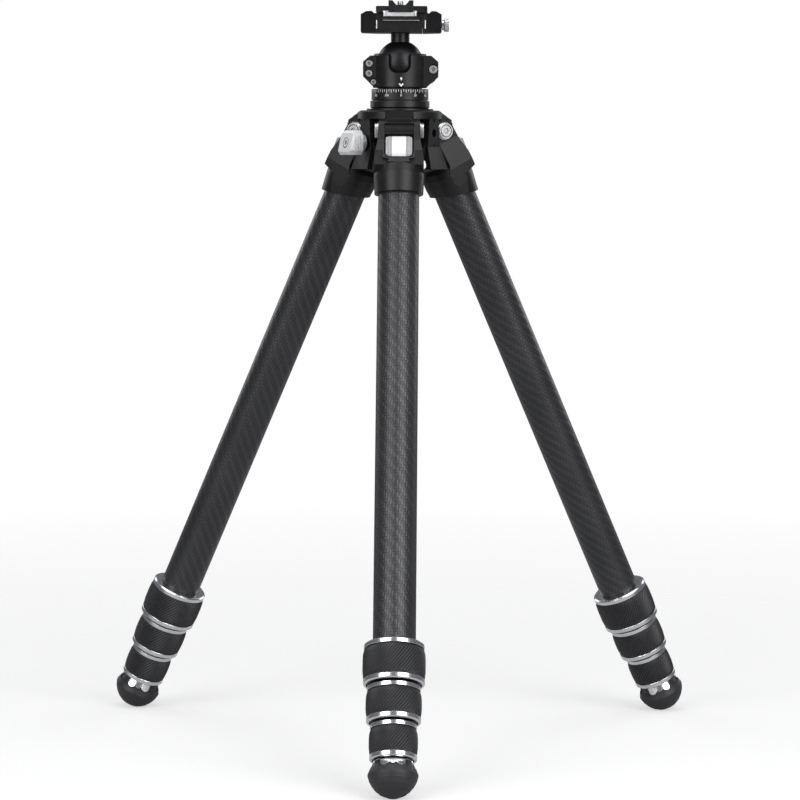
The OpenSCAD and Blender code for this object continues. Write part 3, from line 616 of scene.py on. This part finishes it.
def plate_edges():
    """Heights of the bevel under the plate, the plate's front, and the clamp's seat."""
    vertices = [v.co for v in NODES["camera_plate"].data.vertices]
    front = min(v.y for v in vertices)
    low = min(v.z for v in vertices)
    return low + 3.4 * MM, low + 8.6 * MM, front, low


def camera_screw(material):
    """The captive screw with a real helical thread above the plate, drawn with a plain head and no slot."""
    low, high, _, head = UPRIGHT.extent("camera_screw")
    deck = UPRIGHT.extent("camera_plate")[1]
    pitch, crest, root, chamfer = 1.27 * MM, 3.17 * MM, 2.62 * MM, 0.7 * MM
    head_top = deck - 8.5 * MM
    count, rows = 72, 80
    points = []
    for row in range(rows + 1):
        z = deck + (high - deck) * row / rows
        for k in range(count):
            turn = TURN * k / count
            phase = (z / pitch - turn / TURN) % 1.0
            ridge = max(0.0, 1 - abs(phase - 0.5) / 0.44)
            radius = root + (crest - root) * min(1.0, ridge * 1.35)
            radius = min(radius, crest - max(0.0, chamfer - (high - z)) * 0.9)
            points.append((radius * math.cos(turn), radius * math.sin(turn), z))
    faces = [(r * count + k, r * count + (k + 1) % count, (r + 1) * count + (k + 1) % count,
              (r + 1) * count + k) for r in range(rows) for k in range(count)]
    faces.append(tuple(range(rows * count, (rows + 1) * count)))
    lower = [(deck, 2.6 * MM), (head_top, 2.6 * MM), (head_top, head - 0.5 * MM), (head_top - 0.5 * MM, head),
             (low + 0.5 * MM, head), (low, head - 0.5 * MM), (low, 0.0005 * MM)]
    for d, r in lower:
        points += [(r * math.cos(TURN * k / count), r * math.sin(TURN * k / count), d) for k in range(count)]
    first = (rows + 1) * count
    for row in range(len(lower) - 1):
        faces += [(first + row * count + k, first + (row + 1) * count + k,
                   first + (row + 1) * count + (k + 1) % count, first + row * count + (k + 1) % count)
                  for k in range(count)]
    faces += [(k, first + k, first + (k + 1) % count, (k + 1) % count) for k in range(count)]
    piece = add_piece("threaded_camera_screw", points, faces, material)
    sharpen(make_outward(piece), 50)
    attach(piece, "camera_screw")
    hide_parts("camera_screw")


# ---------- surroundings ----------

def add_camera():
    """The camera stands in front, level with the top of the legs, and looks slightly down.
    Lengths are in metres and angles in radians."""
    distance, side, below_pivot = 3.2218, 0.0362, 0.01615
    yaw, pitch, roll = -0.0108, 0.0781, 0.0044
    forward = Vector((math.sin(yaw) * math.cos(pitch), math.cos(yaw) * math.cos(pitch), -math.sin(pitch)))
    right = forward.cross(Vector((0, 0, 1))).normalized()
    up = right.cross(forward)
    right, up = (right * math.cos(roll) + up * math.sin(roll), up * math.cos(roll) - right * math.sin(roll))
    camera = bpy.data.objects.new("camera", bpy.data.cameras.new("camera"))
    camera.matrix_world = Matrix((right, up, -forward)).transposed().to_4x4()
    camera.matrix_world.translation = (side, -distance, PIVOT_H - below_pivot)
    camera.data.lens, camera.data.sensor_width = 145.43, 36
    camera.data.clip_start, camera.data.clip_end = 0.05, 60
    bpy.context.scene.collection.objects.link(camera)
    bpy.context.scene.camera = camera


def softbox(name, azimuth, distance, height, size, power, aim):
    """A rectangular light that faces a point, with its azimuth counted from the camera's side."""
    light = bpy.data.lights.new(name, "AREA")
    light.shape = "RECTANGLE"
    light.size, light.size_y = size
    light.energy = power
    holder = bpy.data.objects.new(name, light)
    angle = math.radians(azimuth)
    holder.location = (distance * math.sin(angle), -distance * math.cos(angle), height)
    holder.rotation_euler = (Vector(aim) - holder.location).to_track_quat("-Z", "Y").to_euler()
    bpy.context.scene.collection.objects.link(holder)


def add_lights():
    middle = (0, 0, PIVOT_H * 0.7)
    softbox("key_left", -38, 2.3, 1.4, (1.5, 2.6), 42, middle)
    softbox("key_right", 38, 2.3, 1.4, (1.5, 2.6), 54, middle)
    softbox("top", 0, 0.3, 3.0, (1.8, 1.8), 22, middle)
    softbox("rear_left", -140, 2.6, 1.6, (1.4, 2.2), 14, middle)
    softbox("rear_right", 140, 2.6, 1.6, (1.4, 2.2), 14, middle)
    world = bpy.data.worlds.new("studio")
    bpy.context.scene.world = world
    world.use_nodes = True
    tree = world.node_tree
    background = tree.nodes["Background"]
    background.inputs["Color"].default_value = (0.15, 0.155, 0.165, 1)
    white = tree.nodes.new("ShaderNodeBackground")
    white.inputs["Color"].default_value = (1, 1, 1, 1)
    seen = tree.nodes.new("ShaderNodeLightPath").outputs["Is Camera Ray"]
    join = tree.nodes.new("ShaderNodeMixShader")
    for socket, value in zip(join.inputs, (seen, background.outputs[0], white.outputs[0])):
        tree.links.new(value, socket)
    tree.links.new(join.outputs[0], tree.nodes["World Output"].inputs["Surface"])


def add_floor():
    """A pale round floor that fades into the white surroundings."""
    count, radius = 96, 2.6
    points = [(radius * math.cos(TURN * k / count), radius * math.sin(TURN * k / count), 0)
              for k in range(count)]
    g = Graph("pale_floor", roughness=0.7, base_color=(0.93, 0.93, 0.93))
    g.set("Specular IOR Level", 0.1)
    distance = g.add("VectorMath", {0: g.place()}, "Value", operation="LENGTH")
    g.set("Alpha", g.ramp(distance, 0.45, 0.0, 0.4, radius * 0.8))
    floor = add_piece("floor", points, [tuple(range(count))], g.material, smooth=False)


# ---------- assembly ----------

def finish_node(node, material):
    """Sets a CAD node's only material."""
    slots = NODES[node].data.materials
    slots.clear()
    slots.append(material)


BEVEL_HALF, BEVEL_IN = 16.5 * MM, 6 * MM  # the plate's bright bevel: half its width, and its depth
CUT_OUT, CUT_IN = 1 * MM, 0.8 * MM  # how far a cut's box reaches before and behind the clamp's front
CORNER_FROM_MIDDLE, CORNER_HALF = 24 * MM, 0.45 * MM
CORNER_LOW, CORNER_HIGH = 8.5 * MM, 0.4 * MM  # below the clamp's seat
LIP_LEFT, LIP_RIGHT, LIP_LOW, LIP_HIGH = 17 * MM, 19 * MM, 0.75 * MM, 1 * MM


def cut_plate_and_clamp():
    """The bright diamond-cut edges on the plate's bevel and the clamp's front."""
    bevel_low, bevel_high, plate_front, seat = plate_edges()
    bevel = ((-BEVEL_HALF, plate_front - CUT_OUT, bevel_low),
             (BEVEL_HALF, plate_front + BEVEL_IN, bevel_high))
    finish_node("camera_plate", cut_edges(black_metal("plate_black_metal"), [bevel]))
    clamp = [v.co for name in ("clamp_body", "clamp_jaw") for v in NODES[name].data.vertices]
    middle = (min(v.x for v in clamp) + max(v.x for v in clamp)) / 2
    clamp_front = min(v.y for v in clamp)
    start, end = clamp_front - CUT_OUT, clamp_front + CUT_IN
    corners = [((x - CORNER_HALF, start, seat - CORNER_LOW), (x + CORNER_HALF, end, seat - CORNER_HIGH))
               for x in (middle - CORNER_FROM_MIDDLE, middle + CORNER_FROM_MIDDLE)]
    lip = ((-LIP_LEFT, start, seat - LIP_LOW), (LIP_RIGHT, end, seat + LIP_HIGH))
    clamp_metal = cut_edges(black_metal("clamp_black_metal"), corners + [lip])
    finish_node("clamp_body", clamp_metal)
    finish_node("clamp_jaw", clamp_metal)


def dress():
    """Gives each node its material and adds the pieces modelled here."""
    black = black_metal()
    silver = satin_silver()
    facing = Axis((0, 0, 0), (0, -1, 0), (1, 0, 0))
    screws = bright_metal("polished_screw_steel", facing, 0.26, 0.8, recess_shade_reach=5 * MM)
    rubber, feet, white = ribbed_rubber(), foot_rubber(), ink()
    for node in ("apex", "platform", "head_base", "pan_scale", "head_housing", "ball_knob", "pan_knob",
                 "plate_stop"):
        finish_node(node, black)
    finish_node("ball", gloss_black())
    finish_node("ball_cup", rubber)
    finish_node("platform_lever", silver)
    finish_node("housing_screws", screws)
    finish_node("apex_fasteners", screws)
    camera_screw(screws)
    cut_plate_and_clamp()
    clamp_axis = Axis(JOINTS["clamp_knob_turn"]["pos_m"], JOINTS["clamp_knob_turn"]["axis"], (0, 0, 1))
    finish_node("clamp_knob", bright_metal("turned_knob", clamp_axis, 0.2))
    for leg in LEGS:
        carbon = carbon_twill(leg)
        chrome = bright_metal("turned_ring_" + leg, LEG_AXES[leg])
        finish_node(leg + "_shoulder", black)
        finish_node(leg + "_latch", latch_metal(leg))
        finish_node(leg + "_foot", feet)
        for number in (1, 2, 3, 4):
            finish_node(f"{leg}_tube_{number}", carbon)
        for number in (1, 2, 3):
            nut(leg, number, chrome, feet)
            grip(leg, number, rubber)
        crown(leg, chrome)
    scale_marks(white)
    index_marks(white)


add_camera()
add_lights()
add_floor()
dress()
bpy.context.scene.view_settings.view_transform = "Standard"
